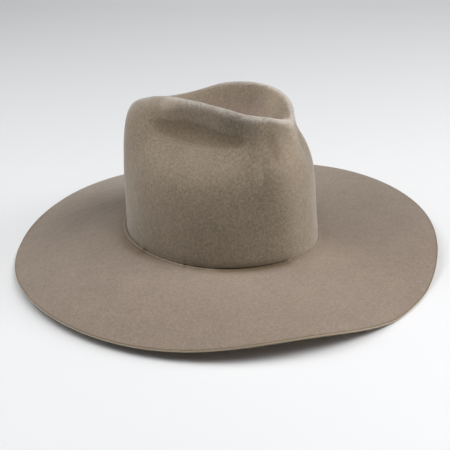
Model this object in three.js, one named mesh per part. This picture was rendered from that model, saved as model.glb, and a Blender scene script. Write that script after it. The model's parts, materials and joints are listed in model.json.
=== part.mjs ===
// A wide-brimmed felt fedora with a teardrop crown and a pinched front.
// Crown and brim are one pressed felt shell, hollow and open underneath.
// Millimetres, +Z up. The hat's front points along -Y and the wearer's left along +X.
// The origin is on the surface that the hat lies on, under the middle of its box.
import * as THREE from 'three';

// Driving sizes
const FOOT_LENGTH = 203;
const FOOT_WIDTH = 171;
const CROWN_HEIGHT = 140;
const BRIM_WIDTH = 113;
const FELT = 2.6;
const BREAK_RADIUS = 1;
const BREAK_FLAT = 6;

// How the hat lies: its lean from level in degrees, and how deep the lowest brim lobe is pressed flat
const LEAN_SIDE = 3.5;
const LEAN_FRONT = 0.7;
const PRESSED = 1.6;

// Mesh steps round the hat and along its profile
const TURN_STEPS = 72;
const PROFILE_STEPS = 38;
const SOLVER_PASSES = 40;
const NUDGE = 1e-4;

// Crown sections every 15 degrees, from the front (0) round either side to the back (180).
// Radii are shares of the foot oval's radius in that direction, heights are shares of CROWN_HEIGHT.
// rim: top of the teardrop's rim; out: its outer shoulder; dent: the pinch under it; slope: the pinch's
// lower slope; lip: where the slope meets the wall; foot: the wall's foot; skew: how far the rim, the
// shoulder and the pinch are lower on the wearer's left and higher on the right.
const CROWN_COLUMNS = [
  'rimR', 'rimZ', 'outR', 'outZ', 'dentR', 'dentZ', 'slopeR', 'slopeZ', 'lipR', 'lipZ', 'footR', 'skew',
];
const CROWN_SECTIONS = [
  [0.745, 0.925, 0.83, 0.92, 0.845, 0.86, 0.865, 0.74, 0.98, 0.555, 1, 0],
  [0.68, 0.952, 0.765, 0.945, 0.765, 0.85, 0.825, 0.71, 0.965, 0.555, 1, 0],
  [0.60, 0.99, 0.718, 0.96, 0.70, 0.83, 0.825, 0.72, 0.945, 0.55, 1, -0.012],
  [0.525, 1.025, 0.65, 0.965, 0.54, 0.78, 0.76, 0.74, 0.94, 0.56, 1.005, -0.016],
  [0.475, 1.035, 0.57, 0.96, 0.42, 0.757, 0.70, 0.725, 0.96, 0.58, 1.01, -0.01],
  [0.43, 1.035, 0.525, 0.955, 0.37, 0.757, 0.67, 0.705, 0.975, 0.57, 1.01, -0.005],
  [0.41, 1.03, 0.52, 0.94, 0.36, 0.753, 0.67, 0.695, 0.98, 0.555, 1, 0],
  [0.43, 1.02, 0.555, 0.92, 0.40, 0.753, 0.70, 0.69, 0.98, 0.54, 0.985, 0.01],
  [0.46, 1.0, 0.62, 0.90, 0.54, 0.76, 0.80, 0.685, 0.965, 0.51, 0.965, 0.02],
  [0.51, 0.96, 0.65, 0.885, 0.765, 0.795, 0.91, 0.685, 0.96, 0.48, 0.945, 0.035],
  [0.58, 0.90, 0.71, 0.86, 0.88, 0.81, 0.95, 0.68, 0.95, 0.48, 0.94, 0.045],
  [0.635, 0.85, 0.755, 0.84, 0.91, 0.80, 0.95, 0.66, 0.95, 0.48, 0.935, 0.035],
  [0.655, 0.845, 0.775, 0.84, 0.92, 0.79, 0.95, 0.66, 0.95, 0.48, 0.935, 0],
];

// The dish in the crown's top: its floor's share of CROWN_HEIGHT, and how far two rows stand towards the rim
const FLOOR_SHARE = 0.70;
const DISH_ROWS = [
  { reach: 0.35, climb: 0.03 },
  { reach: 0.72, climb: 0.43 },
];

// The wall below the lip: heights as shares of CROWN_HEIGHT, and how far each row stands towards the foot
const WALL_ROWS = [
  { height: 0.22, footward: 0.5 },
  { height: 0.05, footward: 1 },
];

// Brim sections every 30 degrees, from the front over the wearer's left to the back and on to the right.
// middle and edge are heights over the break and width is the reach, all as shares of BRIM_WIDTH.
const BRIM_COLUMNS = ['middle', 'edge', 'width'];
const BRIM_SECTIONS = [
  [-0.035, -0.17, 1],
  [-0.01, -0.01, 1],
  [0.02, 0.045, 1],
  [0, 0, 1],
  [-0.045, -0.106, 1],
  [-0.06, -0.145, 1],
  [-0.09, -0.197, 0.99],
  [-0.13, -0.254, 0.96],
  [-0.09, -0.232, 0.985],
  [-0.05, -0.227, 0.986],
  [-0.03, -0.172, 0.978],
  [-0.01, -0.079, 0.988],
];

// Rows across the brim: how far out, and how much of the middle's and the edge's height each takes
const BRIM_ROWS = [
  { out: 0.25, middle: 0.35, edge: 0 },
  { out: 0.5, middle: 1, edge: 0 },
  { out: 0.8, middle: 0.45, edge: 0.55 },
  { out: 1, middle: 0, edge: 1 },
];

const FELT_FINISH = { color: 0x8f8072, roughness: 0.95, metalness: 0 };

// Weights of the four neighbours in a uniform cubic spline
function weights(u) {
  return [
    (1 - u) ** 3 / 6,
    (3 * u ** 3 - 6 * u ** 2 + 4) / 6,
    (-3 * u ** 3 + 3 * u ** 2 + 3 * u + 1) / 6,
    u ** 3 / 6,
  ];
}

// A closed spline through evenly spaced values, read at a turn from 0 to 1
function splineRound(values) {
  const count = values.length;
  let knots = values;
  for (let pass = 0; pass < SOLVER_PASSES; pass += 1) {
    const last = knots;
    knots = values.map((value, i) => (
      (6 * value - last[(i + count - 1) % count] - last[(i + 1) % count]) / 4
    ));
  }
  return (turn) => {
    const place = (turn - Math.floor(turn)) * count;
    const start = Math.floor(place);
    return weights(place - start).reduce(
      (sum, weight, k) => sum + weight * knots[(start + k - 1 + count) % count],
      0,
    );
  };
}

// Front-to-back values made into a whole turn: the second side repeats the first, times its sign
function bothSides(values, sign) {
  const back = values.slice(1, -1).reverse();
  return values.concat(back.map((value) => value * sign));
}

function columnSplines(columns, sections, complete) {
  return columns.map((name, i) => {
    const values = sections.map((row) => row[i]);
    return [name, splineRound(complete(values, name))];
  });
}

const CROWN_SPLINES = columnSplines(
  CROWN_COLUMNS,
  CROWN_SECTIONS,
  (values, name) => bothSides(values, name === 'skew' ? -1 : 1),
);
const BRIM_SPLINES = columnSplines(BRIM_COLUMNS, BRIM_SECTIONS, (values) => values);

function readSplines(splines, turn) {
  return Object.fromEntries(splines.map(([name, spline]) => [name, spline(turn)]));
}

// Crown rows from the dish's middle down to the foot: share of the foot oval, and height
function crownRows(turn) {
  const at = readSplines(CROWN_SPLINES, turn);
  const rows = [{ share: 0, z: FLOOR_SHARE }];
  DISH_ROWS.forEach(({ reach, climb }) => {
    rows.push({ share: reach * at.rimR, z: FLOOR_SHARE + climb * (at.rimZ - FLOOR_SHARE) });
  });
  rows.push({ share: at.rimR, z: at.rimZ - at.skew });
  rows.push({ share: at.outR, z: at.outZ - 0.5 * at.skew });
  rows.push({ share: at.dentR, z: at.dentZ - at.skew });
  rows.push({ share: at.slopeR, z: at.slopeZ - 0.5 * at.skew });
  rows.push({ share: at.lipR, z: at.lipZ });
  WALL_ROWS.forEach(({ height, footward }) => {
    rows.push({ share: at.lipR + footward * (at.footR - at.lipR), z: height });
  });
  return rows.map(({ share, z }) => ({ share, offset: 0, z: z * CROWN_HEIGHT }));
}

// Brim rows from the break out to the cut edge: distance out from the foot, and height over the break
function brimRows(turn, share) {
  const at = readSplines(BRIM_SPLINES, turn);
  const reach = BRIM_WIDTH * at.width;
  const rows = [
    { share, offset: 0, z: BREAK_RADIUS },
    { share, offset: BREAK_RADIUS, z: 0 },
    { share, offset: BREAK_FLAT, z: 0 },
  ];
  BRIM_ROWS.forEach(({ out, middle, edge }) => {
    rows.push({ share, offset: reach * out, z: BRIM_WIDTH * (middle * at.middle + edge * at.edge) });
  });
  return rows;
}

// All rows in one direction, with the end rows repeated so that the profile reaches them
function profileRows(turn) {
  const crown = crownRows(turn);
  const rows = crown.concat(brimRows(turn, crown.at(-1).share));
  return [rows[0], rows[0], ...rows, rows.at(-1), rows.at(-1)];
}

// The felt's upper surface in the hat's own level frame, with the break at height zero
function upperPoint(rows, turn, along) {
  const spans = rows.length - 3;
  const place = along * spans;
  const start = Math.min(Math.floor(place), spans - 1);
  const mix = { share: 0, offset: 0, z: 0 };
  weights(place - start).forEach((weight, k) => {
    mix.share += weight * rows[start + k].share;
    mix.offset += weight * rows[start + k].offset;
    mix.z += weight * rows[start + k].z;
  });
  const angle = 2 * Math.PI * turn;
  return new THREE.Vector3(
    (mix.share * FOOT_WIDTH / 2 + mix.offset) * Math.sin(angle),
    -(mix.share * FOOT_LENGTH / 2 + mix.offset) * Math.cos(angle),
    mix.z,
  );
}

function upperNormal(turn, along) {
  if (along === 0) {
    return new THREE.Vector3(0, 0, 1);
  }
  const safe = Math.min(along, 1 - 2 * NUDGE);
  const rows = profileRows(turn);
  const outward = upperPoint(rows, turn, safe + NUDGE).sub(upperPoint(rows, turn, safe - NUDGE));
  const ahead = upperPoint(profileRows(turn + NUDGE), turn + NUDGE, safe);
  const behind = upperPoint(profileRows(turn - NUDGE), turn - NUDGE, safe);
  return outward.cross(ahead.sub(behind)).normalize();
}

// Rings of points on the upper face and, a felt's thickness inside them, on the lower face
function feltRings() {
  const rings = [];
  for (let i = 0; i <= PROFILE_STEPS; i += 1) {
    const along = i / PROFILE_STEPS;
    const count = i === 0 ? 1 : TURN_STEPS;
    const ring = { upper: [], lower: [] };
    for (let j = 0; j < count; j += 1) {
      const turn = j / TURN_STEPS;
      const point = upperPoint(profileRows(turn), turn, along);
      const inward = upperNormal(turn, along).multiplyScalar(-FELT);
      ring.upper.push(point);
      ring.lower.push(point.clone().add(inward));
    }
    rings.push(ring);
  }
  return rings;
}

// The table's normal seen from the hat, turned to point straight up
function leanTurn() {
  const side = Math.tan(THREE.MathUtils.degToRad(LEAN_SIDE));
  const front = Math.tan(THREE.MathUtils.degToRad(LEAN_FRONT));
  const tableNormal = new THREE.Vector3(-side, front, 1).normalize();
  return new THREE.Quaternion().setFromUnitVectors(tableNormal, new THREE.Vector3(0, 0, 1));
}

// Leans the hat, lowers it until its brim lobes press flat on the table, and centres its box
function layOnTable(rings) {
  const lean = leanTurn();
  const points = rings.flatMap((ring) => [...ring.upper, ...ring.lower]);
  points.forEach((point) => point.applyQuaternion(lean));
  const box = new THREE.Box3().setFromPoints(points);
  const middle = box.getCenter(new THREE.Vector3());
  const shift = new THREE.Vector3(-middle.x, -middle.y, -box.min.z - PRESSED);
  points.forEach((point) => point.add(shift));
  rings.forEach((ring) => {
    ring.lower.forEach((point) => point.setZ(Math.max(point.z, 0)));
    ring.upper.forEach((point) => point.setZ(Math.max(point.z, FELT)));
  });
}

// Triangles between two rings, or from a single middle point to a ring
function addBand(index, inner, outer, flipped) {
  const add = (a, b, c) => index.push(...(flipped ? [a, c, b] : [a, b, c]));
  for (let j = 0; j < TURN_STEPS; j += 1) {
    const next = (j + 1) % TURN_STEPS;
    if (inner.count === 1) {
      add(inner.start, outer.start + j, outer.start + next);
    } else {
      add(inner.start + j, outer.start + j, outer.start + next);
      add(inner.start + j, outer.start + next, inner.start + next);
    }
  }
}

// One closed shell: the upper face, the lower face and the cut edge between them
function feltGeometry() {
  const rings = feltRings();
  layOnTable(rings);
  const positions = [];
  const place = (points) => {
    const start = positions.length / 3;
    points.forEach((point) => positions.push(point.x, point.y, point.z));
    return { start, count: points.length };
  };
  const upper = rings.map((ring) => place(ring.upper));
  const lower = rings.map((ring) => place(ring.lower));
  const index = [];
  for (let i = 0; i < PROFILE_STEPS; i += 1) {
    addBand(index, upper[i], upper[i + 1], false);
    addBand(index, lower[i], lower[i + 1], true);
  }
  addBand(index, upper[PROFILE_STEPS], lower[PROFILE_STEPS], false);
  const geometry = new THREE.BufferGeometry();
  geometry.setAttribute('position', new THREE.Float32BufferAttribute(positions, 3));
  geometry.setIndex(index);
  geometry.computeVertexNormals();
  return geometry;
}

function feltBody() {
  const mesh = new THREE.Mesh(feltGeometry(), new THREE.MeshStandardMaterial(FELT_FINISH));
  mesh.name = 'felt_body';
  return mesh;
}

const fedora = new THREE.Group();
fedora.add(feltBody());

export default fedora;
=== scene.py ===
import json
import math

import bpy
import numpy as np
from mathutils import Matrix, Vector

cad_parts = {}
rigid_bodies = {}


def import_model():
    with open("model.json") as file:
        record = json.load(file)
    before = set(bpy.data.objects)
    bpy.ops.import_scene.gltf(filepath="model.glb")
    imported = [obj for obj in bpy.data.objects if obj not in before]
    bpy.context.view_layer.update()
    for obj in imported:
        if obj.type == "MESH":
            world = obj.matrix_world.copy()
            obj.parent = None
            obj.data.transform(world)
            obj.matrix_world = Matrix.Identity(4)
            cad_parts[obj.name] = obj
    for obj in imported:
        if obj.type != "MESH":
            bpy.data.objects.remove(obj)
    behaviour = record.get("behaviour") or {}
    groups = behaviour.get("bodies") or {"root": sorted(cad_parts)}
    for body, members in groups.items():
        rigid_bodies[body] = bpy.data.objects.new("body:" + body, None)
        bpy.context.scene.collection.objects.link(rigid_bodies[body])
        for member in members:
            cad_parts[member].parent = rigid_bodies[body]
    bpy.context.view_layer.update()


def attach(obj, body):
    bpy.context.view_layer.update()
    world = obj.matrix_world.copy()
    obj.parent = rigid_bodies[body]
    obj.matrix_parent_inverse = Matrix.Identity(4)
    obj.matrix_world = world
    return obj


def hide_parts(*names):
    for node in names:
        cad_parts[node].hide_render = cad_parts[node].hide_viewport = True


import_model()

MM = 0.001

# Driving sizes, the same as the solid's
FOOT_LENGTH = 203
FOOT_WIDTH = 171
CROWN_HEIGHT = 140
BRIM_WIDTH = 113
FELT = 2.6
BREAK_RADIUS = 1
BREAK_FLAT = 6

# How the hat lies: its lean from level in degrees, and how deep the lowest brim lobe is pressed flat
LEAN_SIDE = 3.5
LEAN_FRONT = 0.7
PRESSED = 1.6

# Mesh steps round the hat, and along the profile on the upper and the lower face
TURN_STEPS = 320
UPPER_STEPS = ((0, 10, 84), (10, 13.5, 42), (13.5, 18, 46))
LOWER_STEPS = ((0, 10, 44), (10, 13.5, 12), (13.5, 18, 18))
EDGE_STEPS = 8
SOLVER_PASSES = 40

# Crown sections every 15 degrees, from the front (0) round either side to the back (180).
# Radii are shares of the foot oval's radius in that direction, heights are shares of CROWN_HEIGHT.
CROWN_COLUMNS = (
    "rim_r", "rim_z", "out_r", "out_z", "dent_r", "dent_z",
    "slope_r", "slope_z", "lip_r", "lip_z", "foot_r", "skew",
)
CROWN_SECTIONS = (
    (0.745, 0.925, 0.83, 0.92, 0.845, 0.86, 0.865, 0.74, 0.98, 0.555, 1, 0),
    (0.68, 0.952, 0.765, 0.945, 0.765, 0.85, 0.825, 0.71, 0.965, 0.555, 1, 0),
    (0.60, 0.99, 0.718, 0.96, 0.70, 0.83, 0.825, 0.72, 0.945, 0.55, 1, -0.012),
    (0.525, 1.025, 0.65, 0.965, 0.54, 0.78, 0.76, 0.74, 0.94, 0.56, 1.005, -0.016),
    (0.475, 1.035, 0.57, 0.96, 0.42, 0.757, 0.70, 0.725, 0.96, 0.58, 1.01, -0.01),
    (0.43, 1.035, 0.525, 0.955, 0.37, 0.757, 0.67, 0.705, 0.975, 0.57, 1.01, -0.005),
    (0.41, 1.03, 0.52, 0.94, 0.36, 0.753, 0.67, 0.695, 0.98, 0.555, 1, 0),
    (0.43, 1.02, 0.555, 0.92, 0.40, 0.753, 0.70, 0.69, 0.98, 0.54, 0.985, 0.01),
    (0.46, 1.0, 0.62, 0.90, 0.54, 0.76, 0.80, 0.685, 0.965, 0.51, 0.965, 0.02),
    (0.51, 0.96, 0.65, 0.885, 0.765, 0.795, 0.91, 0.685, 0.96, 0.48, 0.945, 0.035),
    (0.58, 0.90, 0.71, 0.86, 0.88, 0.81, 0.95, 0.68, 0.95, 0.48, 0.94, 0.045),
    (0.635, 0.85, 0.755, 0.84, 0.91, 0.80, 0.95, 0.66, 0.95, 0.48, 0.935, 0.035),
    (0.655, 0.845, 0.775, 0.84, 0.92, 0.79, 0.95, 0.66, 0.95, 0.48, 0.935, 0),
)

# How much of a row's skew the outside of the ridge and the slope under it take
HALF_SKEW = 0.5

# The dish's floor as a share of CROWN_HEIGHT, then rows between sections: share of the way out and up
# in the dish, and share of the way to the foot and height on the wall
FLOOR_SHARE = 0.70
DISH_ROWS = ((0.35, 0.03), (0.72, 0.43))
WALL_ROWS = ((0.22, 0.5), (0.05, 1))

# Brim sections every 30 degrees, from the front over the wearer's left to the back and on to the right.
# Heights over the break at the middle and the edge, and the reach, as shares of BRIM_WIDTH.
BRIM_SECTIONS = (
    (-0.035, -0.17, 1), (-0.01, -0.01, 1), (0.02, 0.045, 1), (0, 0, 1),
    (-0.045, -0.106, 1), (-0.06, -0.145, 1), (-0.09, -0.197, 0.99), (-0.13, -0.254, 0.96),
    (-0.09, -0.232, 0.985), (-0.05, -0.227, 0.986), (-0.03, -0.172, 0.978), (-0.01, -0.079, 0.988),
)

# Rows of the brim: share of the reach, and how much of the middle's and of the edge's height
BRIM_ROWS = ((0.25, 0.35, 0), (0.5, 1, 0), (0.8, 0.45, 0.55), (1, 0, 1))

# The stitched crease at the crown's foot: where it lies along the profile, and how far it climbs the
# wall at the front. Distances called OUT are in mm outwards from it.
CREASE_PLACE = 11.6
CREASE_CLIMB = 2.2
CREASE_CLIMB_TURN = 0.95
CREASE_CLIMB_REACH = 0.09
CREASE_DEPTH = 0.5
CREASE_WIDTH = 0.5
# Width of the painted shade in the crease
CREASE_SHADE_WIDTH = 0.55

# The lip outside the crease, highest at the right back, with a painted highlight, a trough and a painted
# shadow line outside it
LIP_TURN = 0.705
LIP_REACH = 0.062
LIP_LEAST = 0.1
LIP_HEIGHT = 1.5
LIP_OUT = 2.0
LIP_WIDTH = 1.0
LIP_HIGHLIGHT_WIDTH = 0.8
TROUGH_DEPTH = 0.5
TROUGH_OUT = 4.1
LIP_SHADE = 0.6
LIP_SHADE_OUT = 3.9
LIP_SHADE_WIDTH = 0.6

# Painted shade along the crease, and the share of it that lies outside the lip
FOOT_SHADE_OUT = 2.0
FOOT_SHADE_WIDTH = 5.5
LIP_FOOT_SHADE = 0.7
LIP_FOOT_SHADE_OUT = 7.5

# Width in mm over which the crown's finish turns into the brim's, and how far from the crease the
# painted hollow shade is held back
FINISH_CHANGE = 1.2
FOOT_CALM = 9

# The dish in the crown's top ends at this place on the profile, and the painted hollow shade shows less in
# it
DISH_END = 3.3
DISH_CHANGE = 0.2
DISH_CALM = 0.8

# How deep the crease is and how dark its painted shade and the painted shade beside it are, in each
# direction: part of a turn from the front over the left, and strength
CREASE_MARKS = (
    (0.0, 0.2), (0.04, 0.1), (0.07, 0.1), (0.2, 0.3), (0.45, 0.5), (0.6, 0.15), (0.66, 0.3),
    (0.71, 0.35), (0.716, 0.5), (0.721, 1.1), (0.726, 0.5), (0.77, 0.5), (0.791, 0.5), (0.796, 1.2),
    (0.801, 0.5), (0.815, 1.0), (0.835, 0.7), (0.85, 1.2), (0.9, 1.2), (0.93, 1.1), (0.958, 0.9),
    (0.972, 0.2),
)

# Soft dents of the crown that the solid leaves out: turn and reach, share of the crown's height and
# reach, and depth. A swelling has a depth under zero. They start outside this place on the profile.
CROWN_DENTS = (
    (0.915, 0.028, 0.62, 0.2, 3.0),
    (0.685, 0.035, 0.93, 0.05, -2.5),
)
DENT_START = 4.2
DENT_CHANGE = 0.3

# Painted light and shade, patches painted lighter or darker: turn and reach, distance out from the crease
# (the crown has less than zero) and reach, and share
PAINTED_LIGHT_LOBES = (
    (0.025, 0.045, 8, 28, 0.3),
    (0.535, 0.065, 48, 44, -0.24),
    (0.18, 0.07, 78, 44, -0.15),
    (0.09, 0.05, -162, 18, 0.4),
    (0.982, 0.03, -110, 40, 0.42),
    (0.685, 0.06, -140, 12, 0.25),
    (0.882, 0.03, -136, 18, -0.22),
    (0.87, 0.05, -112, 12, -0.12),
    (0.915, 0.04, -66, 32, -0.22),
    (0.985, 0.03, -30, 40, 0.2),
    (0.84, 0.07, -88, 14, 0.07),
)

# Dark stitches in the crease: number round the hat, size and tilt in radians, and its spread
STITCH_COUNT = 110
STITCH_LENGTH = 4.4
STITCH_RADIUS = 0.26
STITCH_LEAN = 0.06
STITCH_SPREAD = 0.05

# Two needle holes, whose shade is stood in for by short thick dark threads over the crease
HOLE_TURNS = (0.717, 0.796)
HOLE_LENGTH = 1.9
HOLE_RADIUS = 0.7
HOLE_HEIGHT = 0.3

# Pale askew stitches at the front, between these turns; pairs are the range of a random share or tilt
ASKEW_FROM = 0.965
ASKEW_TO = 1.06
ASKEW_COUNT = 13
ASKEW_LENGTH = 4.6
ASKEW_LENGTHS = (0.7, 1.2)
ASKEW_LEAN = 0.38
ASKEW_SPREAD = 0.15
ASKEW_HEIGHT = 0.2

# Loose hairs among them
HAIR_FROM = 0.935
HAIR_COUNT = 30
HAIR_LENGTH = 3.0
HAIR_LENGTHS = (0.6, 1.4)
HAIR_LEANS = (0.4, 2.7)
HAIR_RADIUS = 0.1
HAIR_HEIGHT = 0.3

# A thread's shape: its number of sides, and its girth at places along it, as shares
THREAD_SIDES = 6
THREAD_STATIONS = ((-0.5, 0.25), (-0.42, 0.8), (-0.2, 1), (0.2, 1), (0.42, 0.8), (0.5, 0.25))
SEED = 5

# Mesh rows inside and outside the crease, and in from the edge, between which a slope is read
CREASE_ROWS = (4, 3)
EDGE_ROWS = 3

# The cut edge bulges a little between its corners, and has painted shade along its upper corner and towards
# its lower one
EDGE_BULGE = 0.35
EDGE_SHADE = 1.0
EDGE_SHADE_REACH = 0.4
CORNER_SHADE_WIDTH = 0.9

# Felt colours, linear
CROWN_COLOR = (0.293, 0.235, 0.173, 1)
BRIM_COLOR = (0.307, 0.242, 0.193, 1)
WEAR_AND_HIGHLIGHT_COLOR = (0.56, 0.52, 0.475, 1)
# Colour of the painted shade in hollows, at the cut edge and along the foot, and of the real dark specks
SHADE_AND_SPECK_COLOR = (0.165, 0.118, 0.072, 1)
EDGE_COLOR = (0.52, 0.43, 0.31, 1)
CREASE_SHADE_COLOR = (0.050, 0.036, 0.022, 1)
THREAD_COLOR = (0.055, 0.038, 0.024, 1)
FIBRE_COLOR = (0.42, 0.36, 0.29, 1)
TABLE_COLOR = (0.93, 0.935, 0.945, 1)

# Bends of the face in 1/mm where wear with a painted highlight starts and is full, and where the painted
# hollow shade starts and is full
WEAR_AND_HIGHLIGHT_BEND = (0.05, 0.17)
HOLLOW_SHADE_BEND = (-0.006, -0.033)

# How strongly each mark takes its colour
WEAR_AND_HIGHLIGHT_SHARE = 0.75
LIP_HIGHLIGHT_SHARE = 0.3
HOLLOW_SHADE_SHARE = 0.5
CORNER_SHADE_SHARE = 0.85
FOOT_SHADE_SHARE = 0.85
CREASE_SHADE_SHARE = 0.8
SPECK_SHARE = 0.6

# Noise patterns: size of the lumps in mm, detail and roughness
GRAIN = (2.4, 1.5, 0.5)
FINE_GRAIN = (1.1, 1.0, 0.5)
CLOUDS = (24, 2.0, 0.55)
PATCHES = (7, 2.0, 0.6)
SPECKS = (3.5, 3.0, 0.7)
LOW_BUMPS = (9, 2.0, 0.5)
HIGH_BUMPS = (1.2, 3.0, 0.65)
THREAD_GRAIN = (0.3, 2.0, 0.6)

# How much the grain changes the tone, on the crown and on the smoother brim, and what the others do
GRAIN_TONE = (0.15, 0.11)
FINE_TONE = (0.09, 0.085)
CLOUD_TONE = 0.04
PATCH_LEAST = 0.55
THREAD_TONE = (0.7, 1.3)
LOW_BUMP_HEIGHT = 0.5
HIGH_BUMP_HEIGHT = 0.2

# The parts of a noise's range that are used
NOISE_RANGE = (0.3, 0.7)
SPECK_RANGE = (0.69, 0.75)

# Roughness, gloss and sheen
FELT_ROUGHNESS = 0.95
FELT_GLOSS = 0.15
SHEEN = 0.9
SHEEN_ROUGHNESS = 0.4
SHEEN_COLOR = (0.95, 0.9, 0.84, 1)
THREAD_ROUGHNESS = 0.8
TABLE_ROUGHNESS = 0.7
TABLE_GLOSS = 0.2

# The camera, fitted to the oval of the crown's foot: turn and rise over the hat's own level plane
VIEW_TURN = 39
VIEW_RISE = 25
VIEW_DISTANCE = 1100
PIXELS = 450
PIXELS_PER_MM = 1.025
FOOT_PIXEL = (218.3, 226.5)
SENSOR = 36
VIEW_END = 50

# The table's size in m
FLOOR_SIZE = 12

# Lights: name, place, size, power, colour, and the point aimed at. Places are metres to the right of,
# behind and over the hat, as the camera sees them.
WHITE = (1, 1, 1)
HAT = (0, 0, 0)
LIGHTS = (
    ("key", (0.5, -0.45, 1.35), 0.9, 8.8, WHITE, HAT),
    ("high_left", (-0.6, 0, 1.4), 0.9, 6.6, WHITE, HAT),
    ("top_right", (1, 0, 1.1), 0.9, 5.6, WHITE, HAT),
    ("top_left", (-1, 0, 1.1), 0.9, 3.8, WHITE, HAT),
    ("right", (1.4, -0.1, 0.6), 0.8, 6.0, WHITE, HAT),
    ("left", (-1.4, 0, 0.5), 0.8, 2.5, (0.93, 0.97, 1), HAT),
    ("behind", (0, 1.5, 0.5), 0.6, 0.9, WHITE, (0, 1.5, 0)),
)
WORLD_COLOR = (0.95, 0.97, 1, 1)
WORLD_POWER = 0.03


# Splines and the felt's surface
def weights(u):
    """Shares of four neighbouring values in a cubic spline, at u from 0 to 1 between the middle two."""
    return (
        (1 - u) ** 3 / 6,
        (3 * u**3 - 6 * u**2 + 4) / 6,
        (-3 * u**3 + 3 * u**2 + 3 * u + 1) / 6,
        u**3 / 6,
    )


def spline_round(values, turns):
    """A closed spline through evenly spaced values, read at turns from 0 to 1."""
    values = np.asarray(values, float)
    knots = values
    for _ in range(SOLVER_PASSES):
        knots = (6 * values - np.roll(knots, 1) - np.roll(knots, -1)) / 4
    place = turns * len(values)
    start = np.floor(place).astype(int)
    mix = weights(place - start)
    return sum(w * knots[(start + k - 1) % len(values)] for k, w in enumerate(mix))


def crown_columns(turns):
    """The crown's columns in each direction; the left side mirrors the right, and the skew changes sign."""
    columns = {}
    for name, values in zip(CROWN_COLUMNS, np.array(CROWN_SECTIONS).T):
        sign = -1 if name == "skew" else 1
        columns[name] = spline_round(np.concatenate([values, sign * values[-2:0:-1]]), turns)
    return columns


def profile_rows(turns):
    """Control rows in each direction: share of the foot oval, distance out from it, and height."""
    at = crown_columns(turns)
    middle, edge, width = (spline_round(column, turns) for column in np.array(BRIM_SECTIONS).T)
    zero = np.zeros_like(turns)
    rows = [(zero, zero, zero + FLOOR_SHARE * CROWN_HEIGHT)]

    def add_crown(share, height):
        rows.append((share, zero, height * CROWN_HEIGHT))

    for reach, climb in DISH_ROWS:
        add_crown(reach * at["rim_r"], FLOOR_SHARE + climb * (at["rim_z"] - FLOOR_SHARE))
    add_crown(at["rim_r"], at["rim_z"] - at["skew"])
    add_crown(at["out_r"], at["out_z"] - HALF_SKEW * at["skew"])
    add_crown(at["dent_r"], at["dent_z"] - at["skew"])
    add_crown(at["slope_r"], at["slope_z"] - HALF_SKEW * at["skew"])
    add_crown(at["lip_r"], at["lip_z"])
    for height, footward in WALL_ROWS:
        add_crown(at["lip_r"] + footward * (at["foot_r"] - at["lip_r"]), zero + height)
    foot = at["foot_r"]
    rows.append((foot, zero, zero + BREAK_RADIUS))
    rows.append((foot, zero + BREAK_RADIUS, zero))
    rows.append((foot, zero + BREAK_FLAT, zero))
    for out, by_middle, by_edge in BRIM_ROWS:
        height = BRIM_WIDTH * (by_middle * middle + by_edge * edge)
        rows.append((foot, BRIM_WIDTH * width * out, height))
    rows = [rows[0], rows[0], *rows, rows[-1], rows[-1]]
    return np.array(rows)


def upper_face(turns, places):
    """Points of the felt's upper face, level, with the break at height zero: places x turns x 3."""
    rows = profile_rows(turns)
    start = np.minimum(np.floor(places).astype(int), len(rows) - 4)
    mix = weights(places - start)
    blend = sum(w[:, None, None] * rows[start + k] for k, w in enumerate(mix))
    share, offset, height = blend[:, 0], blend[:, 1], blend[:, 2]
    angle = 2 * np.pi * turns
    x = (share * FOOT_WIDTH / 2 + offset) * np.sin(angle)
    y = -(share * FOOT_LENGTH / 2 + offset) * np.cos(angle)
    return np.stack([x, y, height], -1)


def unit(vectors):
    """The vectors at length 1."""
    return vectors / np.maximum(np.linalg.norm(vectors, axis=-1, keepdims=True), 1e-12)


def face_normals(points):
    """Outward normals of a grid of points that is closed in its second direction."""
    outward = np.gradient(points, axis=0)
    ahead = np.roll(points, -1, 1) - np.roll(points, 1, 1)
    normals = unit(np.cross(outward, ahead))
    normals[0] = (0, 0, 1)
    return normals


def spaced(segments):
    """Places along the profile: (from, to, steps) segments joined, ends included once."""
    parts = [np.linspace(a, b, steps, endpoint=False) for a, b, steps in segments]
    return np.append(np.concatenate(parts), segments[-1][1])


def bump(distance, centre, width):
    """A soft bump of height 1 round the centre."""
    return np.exp(-(((distance - centre) / width) ** 2))


def step_up(values, start, width):
    """A soft step from 0 to 1."""
    return 1 / (1 + np.exp((start - values) / width))


def turn_gap(turns, centre):
    """Distance round the hat from one direction, in turns."""
    return np.abs((turns - centre + 0.5) % 1 - 0.5)


def lip_strength(turns):
    """How far the foot's raised lip stands out in each direction: most at the right back."""
    return LIP_LEAST + (1 - LIP_LEAST) * bump(turn_gap(turns, LIP_TURN), 0, LIP_REACH)


def crease_strength(turns):
    """How deep the crease is, and how dark its painted shade, in each direction."""
    places, strengths = zip(*CREASE_MARKS)
    return np.interp(turns, places, strengths, period=1)


def crease_distance(points, turns, places):
    """Distance along the profile from the crease, and to the brim's edge, in each direction."""
    steps = np.linalg.norm(np.diff(points, axis=0), axis=-1)
    run = np.vstack([np.zeros(points.shape[1]), np.cumsum(steps, 0)])
    row = int(np.argmin(np.abs(places - CREASE_PLACE)))
    climb = CREASE_CLIMB * bump(turn_gap(turns, CREASE_CLIMB_TURN), 0, CREASE_CLIMB_REACH)
    return run - run[row] + climb, run[-1] - run


def foot_relief(distance, turns):
    """The crease, its lip and the trough outside it, as heights along the normal."""
    lip = lip_strength(turns)
    return (
        -CREASE_DEPTH * crease_strength(turns) * bump(distance, 0, CREASE_WIDTH)
        + LIP_HEIGHT * lip * bump(distance, LIP_OUT, LIP_WIDTH)
        - TROUGH_DEPTH * lip * bump(distance, TROUGH_OUT, LIP_WIDTH)
    )


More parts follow.
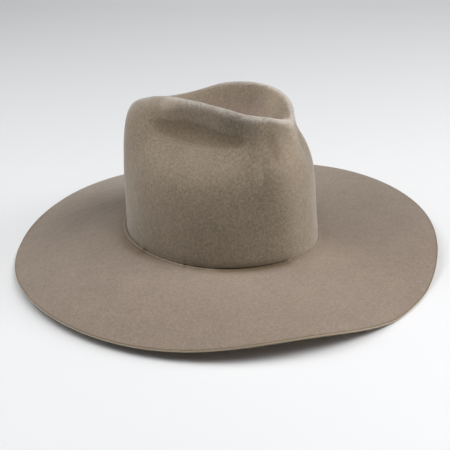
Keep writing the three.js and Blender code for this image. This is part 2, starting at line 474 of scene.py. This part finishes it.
def dent_relief(points, turns, places):
    """Soft dents and swellings of the crown, as heights along the normal."""
    height = points[..., 2] / CROWN_HEIGHT
    relief = np.zeros_like(height)
    for turn, reach, level, rise, depth in CROWN_DENTS:
        relief -= depth * bump(turn_gap(turns, turn), 0, reach) * bump(height, level, rise)
    return relief * step_up(places[:, None], DENT_START, DENT_CHANGE)


def painted_light_tone(distance, turns):
    """Painted light and shade: how much lighter or darker each place is painted."""
    painted_light = np.zeros_like(distance)
    for turn, reach, out, width, share in PAINTED_LIGHT_LOBES:
        painted_light += share * bump(turn_gap(turns, turn), 0, reach) * bump(distance, out, width)
    return painted_light


def face_bend(points, normals):
    """How strongly the face bends, in 1/mm, both ways together: more than zero on ridges."""
    along = np.gradient(points, axis=0)
    by_profile = (along * np.gradient(normals, axis=0)).sum(-1) / np.maximum((along**2).sum(-1), 1e-6)
    ahead = np.roll(points, -1, 1) - np.roll(points, 1, 1)
    turned = np.roll(normals, -1, 1) - np.roll(normals, 1, 1)
    by_round = (ahead * turned).sum(-1) / np.maximum((ahead**2).sum(-1), 1e-6)
    return by_profile + by_round


# The way the hat lies
def lean_matrix():
    """The turn that leans the level hat to the side and to the front."""
    normal = Vector((-math.tan(math.radians(LEAN_SIDE)), math.tan(math.radians(LEAN_FRONT)), 1))
    return np.array(normal.rotation_difference(Vector((0, 0, 1))).to_matrix())


def resting_shift(points):
    """The move that centres the leaning hat's box and presses its lowest lobe into the table."""
    low, high = points.min((0, 1)), points.max((0, 1))
    return np.array([-(low[0] + high[0]) / 2, -(low[1] + high[1]) / 2, -low[2] - PRESSED])


# Meshes
def quads(first, second, count):
    """Faces between two rings of vertex numbers."""
    j = np.arange(count)
    k = (j + 1) % count
    return np.stack([first + j, second + j, second + k, first + k], -1)


def grid_faces(start, rings, count, flip):
    """Faces of a grid whose first ring is one point, with its vertices numbered from start."""
    ring_start = [start] + [start + 1 + i * count for i in range(rings - 1)]
    j = np.arange(count)
    fan = np.stack([np.full(count, start), ring_start[1] + j, ring_start[1] + (j + 1) % count], -1)
    bands = [quads(a, b, count) for a, b in zip(ring_start[1:], ring_start[2:])]
    body = np.concatenate(bands)
    if flip:
        fan, body = fan[:, ::-1], body[:, ::-1]
    return fan.tolist() + body.tolist(), ring_start[-1]


def collapse_first(grid):
    """The grid's points as one list, with its first ring kept as a single point."""
    return np.concatenate([grid[0, :1], grid[1:].reshape(-1, grid.shape[-1])])


def make_piece(name, vertices, faces, material):
    """A smooth piece from points in millimetres."""
    mesh = bpy.data.meshes.new(name)
    mesh.from_pydata((np.asarray(vertices) * MM).tolist(), [], faces)
    mesh.update()
    mesh.polygons.foreach_set("use_smooth", np.ones(len(mesh.polygons), bool))
    mesh.materials.append(material)
    piece = bpy.data.objects.new(name, mesh)
    bpy.context.scene.collection.objects.link(piece)
    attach(piece, "root")
    return piece


def add_attribute(piece, name, values):
    """A number for each vertex, which the finish reads."""
    attribute = piece.data.attributes.new(name, "FLOAT", "POINT")
    attribute.data.foreach_set("value", np.asarray(values, np.float32))


def felt_shape():
    """The two faces of the felt, lying on the table, the marks that the finish reads, and the lean."""
    turns = np.arange(TURN_STEPS) / TURN_STEPS
    places = spaced(UPPER_STEPS)
    upper = upper_face(turns, places)
    normals = face_normals(upper)
    distance, to_edge = crease_distance(upper, turns, places)
    crease_shade, lip = crease_strength(turns), lip_strength(turns)
    bend = face_bend(upper, normals)
    dish = 1 - step_up(places[:, None], DISH_END, DISH_CHANGE)
    # Where the painted hollow shade is held back: near the crease and in the dish
    calm = (1 - bump(distance, 0, FOOT_CALM)) * (1 - DISH_CALM * dish)
    lip_shade = LIP_SHADE * lip * bump(distance, LIP_SHADE_OUT, LIP_SHADE_WIDTH)
    lip_foot_shade = LIP_FOOT_SHADE * lip * bump(distance, LIP_FOOT_SHADE_OUT, FOOT_SHADE_WIDTH)
    marks = {
        "smooth": step_up(distance, 0, FINISH_CHANGE) + dish,
        # Painted shade in the crease, and the painted shadow line outside the lip
        "crease_shade": crease_shade * bump(distance, 0, CREASE_SHADE_WIDTH) + lip_shade,
        # Painted soft shadow along the foot and outside the lip
        "painted_foot_shade": crease_shade * bump(distance, FOOT_SHADE_OUT, FOOT_SHADE_WIDTH) + lip_foot_shade,
        # The bend drives the wear and painted highlight on ridges, and the painted shade in hollows
        "bend": np.where(bend < 0, bend * calm, bend),
        # Painted shade along the upper corner of the cut edge
        "painted_edge_shade": bump(to_edge, 0, CORNER_SHADE_WIDTH),
        # Painted highlight along the raised lip
        "lip": lip * bump(distance, LIP_OUT, LIP_HIGHLIGHT_WIDTH),
        # Painted light and shade in soft patches
        "painted_light": painted_light_tone(distance, turns),
    }
    relief = foot_relief(distance, turns) + dent_relief(upper, turns, places)
    upper = upper + normals * relief[..., None]
    above = upper_face(turns, spaced(LOWER_STEPS))
    lower = above - FELT * face_normals(above)
    lean = lean_matrix()
    shift = resting_shift(np.concatenate([upper, lower]) @ lean.T)
    upper = upper @ lean.T + shift
    lower = lower @ lean.T + shift
    upper[..., 2] = np.maximum(upper[..., 2], FELT)
    lower[..., 2] = np.maximum(lower[..., 2], 0)
    return upper, lower, distance, marks, lean, shift


def edge_rings(upper, lower):
    """Rings down the cut edge, a little fuller in its middle than at its corners."""
    outward = unit(upper[-1] - upper[-1 - EDGE_ROWS])
    rings = []
    for step in range(1, EDGE_STEPS):
        down = step / EDGE_STEPS
        bulge = EDGE_BULGE * (1 - abs(2 * down - 1) ** 3)
        rings.append(upper[-1] * (1 - down) + lower[-1] * down + outward * bulge)
    return np.array(rings)


def mark_felt(piece, marks, lower_start, edge_start):
    """Give the felt its marks. The lower face has none, and the cut edge its own painted shade."""
    count = len(piece.data.vertices)
    rest = np.zeros(count - lower_start)
    down = np.arange(1, EDGE_STEPS) / EDGE_STEPS
    shade = rest.copy()
    # Painted shade down the cut edge, darkest at its lower corner
    shade[edge_start - lower_start:] = np.repeat(EDGE_SHADE * bump(down, 1, EDGE_SHADE_REACH), TURN_STEPS)
    for name, values in marks.items():
        tail = shade if name == "painted_edge_shade" else rest
        add_attribute(piece, name, np.append(collapse_first(values[..., None])[:, 0], tail))
    cut = np.zeros(count)
    cut[edge_start:] = 1
    add_attribute(piece, "cut", cut)


def build_felt(material):
    """The felt as one closed mesh: upper face, lower face and the cut edge between them."""
    upper, lower, distance, marks, lean, shift = felt_shape()
    edge = edge_rings(upper, lower)
    count = TURN_STEPS
    faces, upper_rim = grid_faces(0, len(upper), count, False)
    lower_start = 1 + (len(upper) - 1) * count
    lower_faces, lower_rim = grid_faces(lower_start, len(lower), count, True)
    faces += lower_faces
    edge_start = lower_start + 1 + (len(lower) - 1) * count
    chain = [upper_rim] + [edge_start + i * count for i in range(len(edge))] + [lower_rim]
    for first, second in zip(chain, chain[1:]):
        faces += quads(first, second, count).tolist()
    vertices = np.concatenate([collapse_first(upper), collapse_first(lower), edge.reshape(-1, 3)])
    piece = make_piece("felt", vertices, faces, material)
    mark_felt(piece, marks, lower_start, edge_start)
    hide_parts("felt_body")
    return upper, distance, lean, shift


def crease_line(upper, distance):
    """Points in the crease, with the directions out of the felt and along the crease."""
    columns = np.arange(upper.shape[1])
    row = np.argmax(distance >= 0, 0)
    before, after = distance[row - 1, columns], distance[row, columns]
    mix = (before / (before - after))[:, None]
    points = upper[row - 1, columns] * (1 - mix) + upper[row, columns] * mix
    along = unit(np.roll(points, -1, 0) - np.roll(points, 1, 0))
    inner, outer = CREASE_ROWS
    out = unit(np.cross(upper[row + outer, columns] - upper[row - inner, columns], along))
    return points, out, along


def capsule(sides, radius, length):
    """Points of a small closed thread along X, rings tapered at both ends, and its faces."""
    angles = 2 * np.pi * np.arange(sides) / sides
    rings = [
        np.stack([
            np.full(sides, share * length),
            radius * girth * np.cos(angles),
            radius * girth * np.sin(angles),
        ], -1)
        for share, girth in THREAD_STATIONS
    ]
    faces = []
    for i in range(len(THREAD_STATIONS) - 1):
        faces += quads(i * sides, (i + 1) * sides, sides)[:, ::-1].tolist()
    faces.append(list(range(sides)))
    last = (len(THREAD_STATIONS) - 1) * sides
    faces.append(list(range(last + sides - 1, last - 1, -1)))
    return np.concatenate(rings), faces


def stitches():
    """Dark stitches in the crease: direction, length, radius, tilt across it and height over it."""
    random = np.random.default_rng(SEED)
    rows = []
    for i in range(STITCH_COUNT):
        turn = (i + 0.5) / STITCH_COUNT
        if ASKEW_TO - 1 <= turn <= ASKEW_FROM:
            lean = STITCH_LEAN + random.normal(0, STITCH_SPREAD)
            rows.append((turn, STITCH_LENGTH, STITCH_RADIUS, lean, 0.0))
    # Dark threads standing in for the shade inside the needle holes
    for turn in HOLE_TURNS:
        rows.append((turn, HOLE_LENGTH, HOLE_RADIUS, 0.0, HOLE_HEIGHT))
    return rows


def fibres():
    """Pale askew stitches and loose hairs at the front, as rows like the stitches'."""
    random = np.random.default_rng(SEED)
    rows = []
    for i in range(ASKEW_COUNT):
        turn = ASKEW_FROM + (ASKEW_TO - ASKEW_FROM) * (i + 0.5) / ASKEW_COUNT
        tilt = ASKEW_LEAN * (-1) ** i + random.normal(0, ASKEW_SPREAD)
        length = ASKEW_LENGTH * random.uniform(*ASKEW_LENGTHS)
        rows.append((turn % 1, length, STITCH_RADIUS, tilt, ASKEW_HEIGHT))
    for _ in range(HAIR_COUNT):
        turn = random.uniform(HAIR_FROM, ASKEW_TO)
        tilt = random.uniform(*HAIR_LEANS)
        length = HAIR_LENGTH * random.uniform(*HAIR_LENGTHS)
        rows.append((turn % 1, length, HAIR_RADIUS, tilt, HAIR_HEIGHT))
    return rows


def build_threads(name, rows, material, upper, distance):
    """One piece of all the threads in the rows, each laid on the crease."""
    points, out, along = crease_line(upper, distance)
    vertices, faces = [], []
    for turn, length, radius, tilt, height in rows:
        column = int(turn * TURN_STEPS) % TURN_STEPS
        normal, ahead = out[column], along[column]
        side = np.cross(normal, ahead)
        run = ahead * math.cos(tilt) + side * math.sin(tilt)
        axes = np.stack([run, np.cross(normal, run), normal])
        shape, shape_faces = capsule(THREAD_SIDES, radius, length)
        start = sum(map(len, vertices))
        vertices.append(shape @ axes + points[column] + normal * height)
        faces += [[start + index for index in face] for face in shape_faces]
    return make_piece(name, np.concatenate(vertices), faces, material)


# Materials
class Nodes:
    """Short calls for making and linking shader nodes."""

    def __init__(self, name):
        self.material = bpy.data.materials.new(name)
        self.material.use_nodes = True
        self.tree = self.material.node_tree
        self.shader = self.tree.nodes["Principled BSDF"]
        self.objects = self.add("ShaderNodeTexCoord").outputs["Object"]

    def add(self, kind, **settings):
        node = self.tree.nodes.new(kind)
        for key, value in settings.items():
            setattr(node, key, value)
        return node

    def link(self, source, target):
        self.tree.links.new(source, target)

    def attribute(self, name):
        """The number that the mesh holds under this name."""
        return self.add("ShaderNodeAttribute", attribute_name=name).outputs["Fac"]

    def noise(self, size_mm, detail, roughness):
        """Noise whose lumps are about this big."""
        node = self.add("ShaderNodeTexNoise")
        node.inputs["Scale"].default_value = 1 / (size_mm * MM)
        node.inputs["Detail"].default_value = detail
        node.inputs["Roughness"].default_value = roughness
        self.link(self.objects, node.inputs["Vector"])
        return node.outputs["Fac"]

    def math(self, operation, a, b):
        node = self.add("ShaderNodeMath", operation=operation)
        for socket, value in zip(node.inputs, (a, b)):
            if isinstance(value, (int, float)):
                socket.default_value = value
            else:
                self.link(value, socket)
        return node.outputs["Value"]

    def ramp(self, value, low, high, start, end):
        """The value moved from one range to another, and held at its ends."""
        node = self.add("ShaderNodeMapRange")
        node.inputs["From Min"].default_value = low
        node.inputs["From Max"].default_value = high
        node.inputs["To Min"].default_value = start
        node.inputs["To Max"].default_value = end
        self.link(value, node.inputs["Value"])
        return node.outputs["Result"]

    def mix(self, factor, a, b):
        """Two colours mixed, by the sockets that this node keeps for colours."""
        node = self.add("ShaderNodeMix", data_type="RGBA")
        for socket, value in zip((node.inputs[0], node.inputs[6], node.inputs[7]), (factor, a, b)):
            if isinstance(value, (int, float, tuple)):
                socket.default_value = value
            else:
                self.link(value, socket)
        return node.outputs[2]

    def bump(self, height, distance_mm, normal=None):
        """Normals tilted by a height pattern, over any earlier ones."""
        node = self.add("ShaderNodeBump")
        node.inputs["Distance"].default_value = distance_mm * MM
        self.link(height, node.inputs["Height"])
        if normal:
            self.link(normal, node.inputs["Normal"])
        return node.outputs["Normal"]


def scaled_color(nodes, color, factor):
    """The colour times a number that varies over the surface."""
    node = nodes.add("ShaderNodeVectorMath", operation="SCALE")
    nodes.link(color, node.inputs[0])
    nodes.link(factor, node.inputs["Scale"])
    return node.outputs["Vector"]


def marked(nodes, color, name, share, mark_color):
    """The colour with one of the mesh's marks over it."""
    return nodes.mix(nodes.math("MULTIPLY", nodes.attribute(name), share), color, mark_color)


def felt_tone(nodes, smooth):
    """The felt's tone: grain, clouds and the painted light and shade, round 1."""
    grain = nodes.ramp(nodes.noise(*GRAIN), *NOISE_RANGE, -1, 1)
    fine = nodes.ramp(nodes.noise(*FINE_GRAIN), *NOISE_RANGE, -1, 1)
    cloud = nodes.ramp(nodes.noise(*CLOUDS), *NOISE_RANGE, -1, 1)
    coarse = nodes.math("MULTIPLY", grain, nodes.ramp(smooth, 0, 1, *GRAIN_TONE))
    speckled = nodes.math("MULTIPLY", fine, nodes.ramp(smooth, 0, 1, *FINE_TONE))
    # The painted light and shade joins the clouds here
    clouded = nodes.math("ADD", nodes.math("MULTIPLY", cloud, CLOUD_TONE), nodes.attribute("painted_light"))
    return nodes.math("ADD", nodes.math("ADD", coarse, speckled), nodes.math("ADD", clouded, 1.0))


def felt_color(nodes):
    """Crown and brim, then wear with a painted highlight, the lip's painted highlight, painted hollow shade
    and specks, then the cut edge, its painted shade, the painted shade at the foot and the crease's painted
    shade.
    """
    smooth = nodes.attribute("smooth")
    bend = nodes.attribute("bend")
    patch = nodes.ramp(nodes.noise(*PATCHES), *NOISE_RANGE, PATCH_LEAST, 1)
    specks = nodes.ramp(nodes.noise(*SPECKS), *SPECK_RANGE, 0, SPECK_SHARE)
    # Ridges lighter and greyer: worn nap together with a painted highlight
    wear_and_highlight = nodes.math("MULTIPLY", nodes.ramp(bend, *WEAR_AND_HIGHLIGHT_BEND, 0, WEAR_AND_HIGHLIGHT_SHARE), patch)
    color = nodes.mix(smooth, CROWN_COLOR, BRIM_COLOR)
    color = nodes.mix(wear_and_highlight, color, WEAR_AND_HIGHLIGHT_COLOR)
    # Painted highlight on the lip
    color = marked(nodes, color, "lip", LIP_HIGHLIGHT_SHARE, WEAR_AND_HIGHLIGHT_COLOR)
    # Painted shade in hollows
    color = nodes.mix(nodes.ramp(bend, *HOLLOW_SHADE_BEND, 0, HOLLOW_SHADE_SHARE), color, SHADE_AND_SPECK_COLOR)
    color = scaled_color(nodes, color, felt_tone(nodes, smooth))
    color = nodes.mix(specks, color, SHADE_AND_SPECK_COLOR)
    color = nodes.mix(nodes.attribute("cut"), color, EDGE_COLOR)
    # Painted shade at the cut edge
    color = marked(nodes, color, "painted_edge_shade", CORNER_SHADE_SHARE, SHADE_AND_SPECK_COLOR)
    # Painted shadow along the foot
    color = marked(nodes, color, "painted_foot_shade", FOOT_SHADE_SHARE, SHADE_AND_SPECK_COLOR)
    # Painted shade in the crease
    return marked(nodes, color, "crease_shade", CREASE_SHADE_SHARE, CREASE_SHADE_COLOR)


def felt_material():
    """Matt wool felt with a soft sheen."""
    nodes = Nodes("wool_felt")
    nodes.link(felt_color(nodes), nodes.shader.inputs["Base Color"])
    low = nodes.bump(nodes.noise(*LOW_BUMPS), LOW_BUMP_HEIGHT)
    high = nodes.bump(nodes.noise(*HIGH_BUMPS), HIGH_BUMP_HEIGHT, normal=low)
    nodes.link(high, nodes.shader.inputs["Normal"])
    nodes.shader.inputs["Roughness"].default_value = FELT_ROUGHNESS
    nodes.shader.inputs["Specular IOR Level"].default_value = FELT_GLOSS
    nodes.shader.inputs["Sheen Weight"].default_value = SHEEN
    nodes.shader.inputs["Sheen Roughness"].default_value = SHEEN_ROUGHNESS
    nodes.shader.inputs["Sheen Tint"].default_value = SHEEN_COLOR
    return nodes.material


def thread_material(name, color):
    """Thread of one colour with a fine grain."""
    nodes = Nodes(name)
    shade = nodes.ramp(nodes.noise(*THREAD_GRAIN), *NOISE_RANGE, *THREAD_TONE)
    base = nodes.add("ShaderNodeRGB")
    base.outputs[0].default_value = color
    nodes.link(scaled_color(nodes, base.outputs[0], shade), nodes.shader.inputs["Base Color"])
    nodes.shader.inputs["Roughness"].default_value = THREAD_ROUGHNESS
    return nodes.material


def floor_material():
    """Matt white."""
    nodes = Nodes("white_table")
    nodes.shader.inputs["Base Color"].default_value = TABLE_COLOR
    nodes.shader.inputs["Roughness"].default_value = TABLE_ROUGHNESS
    nodes.shader.inputs["Specular IOR Level"].default_value = TABLE_GLOSS
    return nodes.material


# Stage, light and camera
def build_floor():
    """The table's top, as one flat square under the hat."""
    half = FLOOR_SIZE / 2
    mesh = bpy.data.meshes.new("table")
    corners = [(-half, -half, 0), (half, -half, 0), (half, half, 0), (-half, half, 0)]
    mesh.from_pydata(corners, [], [(0, 1, 2, 3)])
    mesh.materials.append(floor_material())
    table = bpy.data.objects.new("table", mesh)
    bpy.context.scene.collection.objects.link(table)


def view_directions():
    """Right, away and up as the camera sees them over the hat's level plane."""
    turn = math.radians(VIEW_TURN)
    right = Vector((math.sin(turn), -math.cos(turn), 0))
    away = Vector((math.cos(turn), math.sin(turn), 0))
    return right, away, Vector((0, 0, 1))


def build_camera(lean, shift):
    """A camera placed over the hat's own level plane, which leans with the hat."""
    right, away, up = view_directions()
    rise = math.radians(VIEW_RISE)
    forward = away * math.cos(rise) - up * math.sin(rise)
    over = right.cross(forward)
    turned = Matrix(lean.tolist())
    axes = Matrix((turned @ right, turned @ over, turned @ -forward)).transposed()
    place = turned @ (forward * -VIEW_DISTANCE) + Vector(shift)
    data = bpy.data.cameras.new("camera")
    data.sensor_width = SENSOR
    data.lens = SENSOR * PIXELS_PER_MM * VIEW_DISTANCE / PIXELS
    data.shift_x = (PIXELS / 2 - FOOT_PIXEL[0]) / PIXELS
    data.shift_y = (FOOT_PIXEL[1] - PIXELS / 2) / PIXELS
    data.clip_end = VIEW_END
    camera = bpy.data.objects.new("camera", data)
    camera.matrix_world = Matrix.Translation(place * MM) @ axes.to_4x4()
    bpy.context.scene.collection.objects.link(camera)
    bpy.context.scene.camera = camera


def add_light(name, place, size, power, color, aim):
    """A square soft light."""
    axes = view_directions()
    place = sum((axis * amount for axis, amount in zip(axes, place)), Vector())
    aim = sum((axis * amount for axis, amount in zip(axes, aim)), Vector())
    data = bpy.data.lights.new(name, "AREA")
    data.shape = "SQUARE"
    data.size = size
    data.energy = power
    data.color = color
    light = bpy.data.objects.new(name, data)
    light.location = place
    light.rotation_euler = (aim - place).to_track_quat("-Z", "Y").to_euler()
    bpy.context.scene.collection.objects.link(light)


def build_light():
    """The lights and a faint cool room, with colours shown as they are."""
    world = bpy.data.worlds.new("studio")
    world.use_nodes = True
    background = world.node_tree.nodes["Background"]
    background.inputs["Color"].default_value = WORLD_COLOR
    background.inputs["Strength"].default_value = WORLD_POWER
    bpy.context.scene.world = world
    bpy.context.scene.view_settings.view_transform = "Standard"
    for row in LIGHTS:
        add_light(*row)


felt = felt_material()
felt_top, foot_distance, hat_lean, hat_shift = build_felt(felt)
dark_thread = thread_material("stitch_thread", THREAD_COLOR)
build_threads("foot_stitches", stitches(), dark_thread, felt_top, foot_distance)
pale_fibre = thread_material("loose_fibre", FIBRE_COLOR)
build_threads("foot_fibres", fibres(), pale_fibre, felt_top, foot_distance)
build_floor()
build_light()
build_camera(hat_lean, hat_shift)
